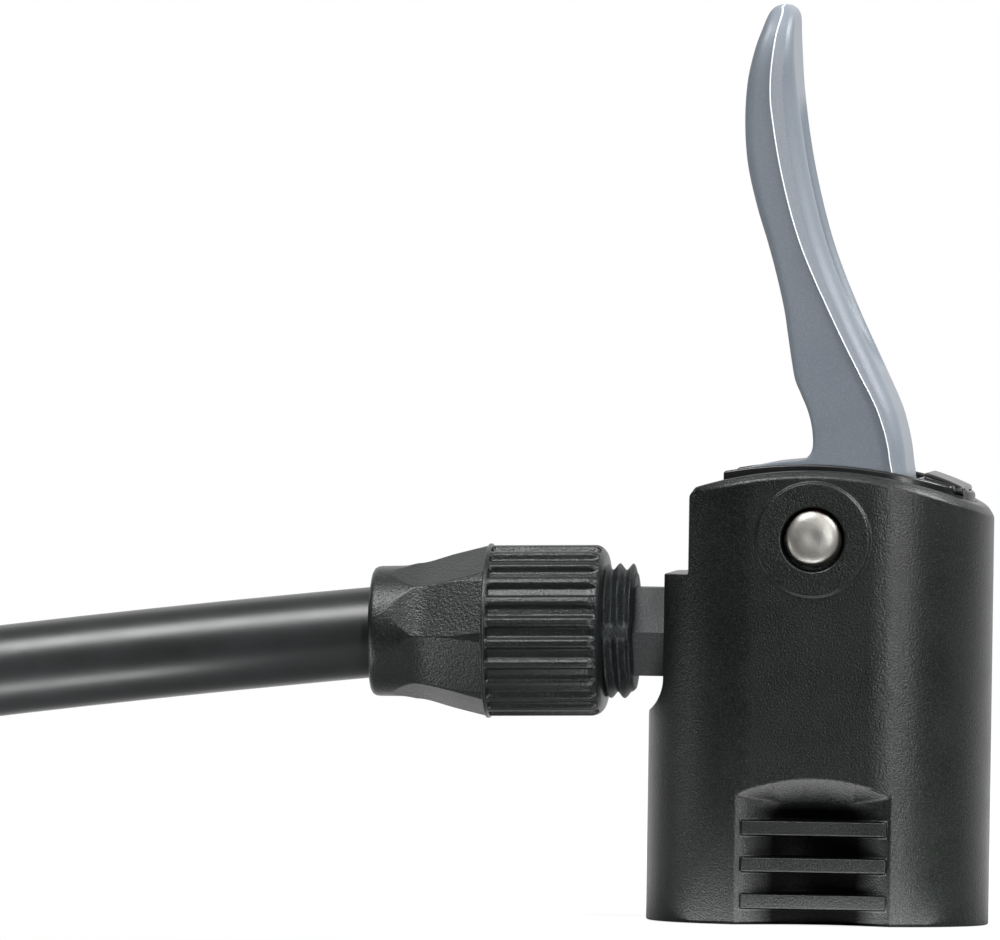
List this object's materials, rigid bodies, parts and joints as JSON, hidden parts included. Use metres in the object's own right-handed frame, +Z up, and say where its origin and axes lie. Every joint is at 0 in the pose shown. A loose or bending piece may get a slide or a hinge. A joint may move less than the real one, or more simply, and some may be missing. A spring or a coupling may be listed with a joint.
{
  "type": "tire inflator head and hose",
  "caption": "Clip-on air chuck of a portable tire inflator with a folding thumb lever, a fluted hose nut, and a coiled rubber hose with a swivelling screwed end.",
  "frame": {"origin": "centre of the valve bore's mouth, on the head's flat base", "axes": "+Z up the valve bore towards the open lever, +X to the front of the head, the hose leaves towards -X"},
  "size_m": [0.2425, 0.1004, 0.0958],
  "materials": {
    "housing_black": "fine spark texture",
    "liner_black": "smooth satin",
    "lever_grey": "fine satin grain",
    "steel": "satin",
    "aluminium": "satin",
    "brass": "turned",
    "cap_black": "satin",
    "stem_metal": "dark satin",
    "nut_black": "leather grain",
    "seal_rubber": "matte",
    "hose_rubber": "smooth satin",
    "tie_rubber": "matte",
    "ferrule_steel": "satin"
  },
  "bodies": {
    "head": {"housing": "housing_black", "slot_liner": "liner_black", "pivot_rivet": "steel", "valve_cap": "cap_black", "rubber_gland": "seal_rubber", "air_stem": "stem_metal", "hose_nut": "nut_black", "hose_clamped_end": "hose_rubber", "hose": "hose_rubber", "hose_coil": "hose_rubber", "coil_tie": "tie_rubber", "end_ferrule": "ferrule_steel", "end_fitting": "brass"},
    "lever": {"lever": "lever_grey"},
    "plunger": {"plunger": "aluminium", "plunger_o_ring": "seal_rubber", "gland_washer_upper": "brass", "depressor_guide": "brass", "depressor_spring": "steel"},
    "depressor": {"depressor_pin": "brass"},
    "end_nut": {"end_nut": "stem_metal"}
  },
  "joints": [
    {"name": "lever_fold", "type": "hinge", "parent": "head", "child": "lever", "pos_m": [0, 0, 0.0404], "axis": [0, -1, 0], "range_deg": [0, 79]},
    {"name": "plunger_slide", "type": "slide", "parent": "head", "child": "plunger", "axis": [0, 0, -1], "range_m": [0, 0.0024], "deforming": ["rubber_gland"]},
    {"name": "depressor_slide", "type": "slide", "parent": "plunger", "child": "depressor", "axis": [0, 0, 1], "range_m": [0, 0.0015], "stiffness_N_per_m": 300, "springref_m": -0.001, "deforming": ["depressor_spring"]},
    {"name": "end_nut_spin", "type": "hinge", "parent": "head", "child": "end_nut", "pos_m": [-0.138, 0.082, 0.0056], "axis": [1, 0, 0], "continuous": true}
  ],
  "couplings": [
    {"joint": "plunger_slide", "follows": "lever_fold", "m_per_rad": 0.0017405}
  ]
}
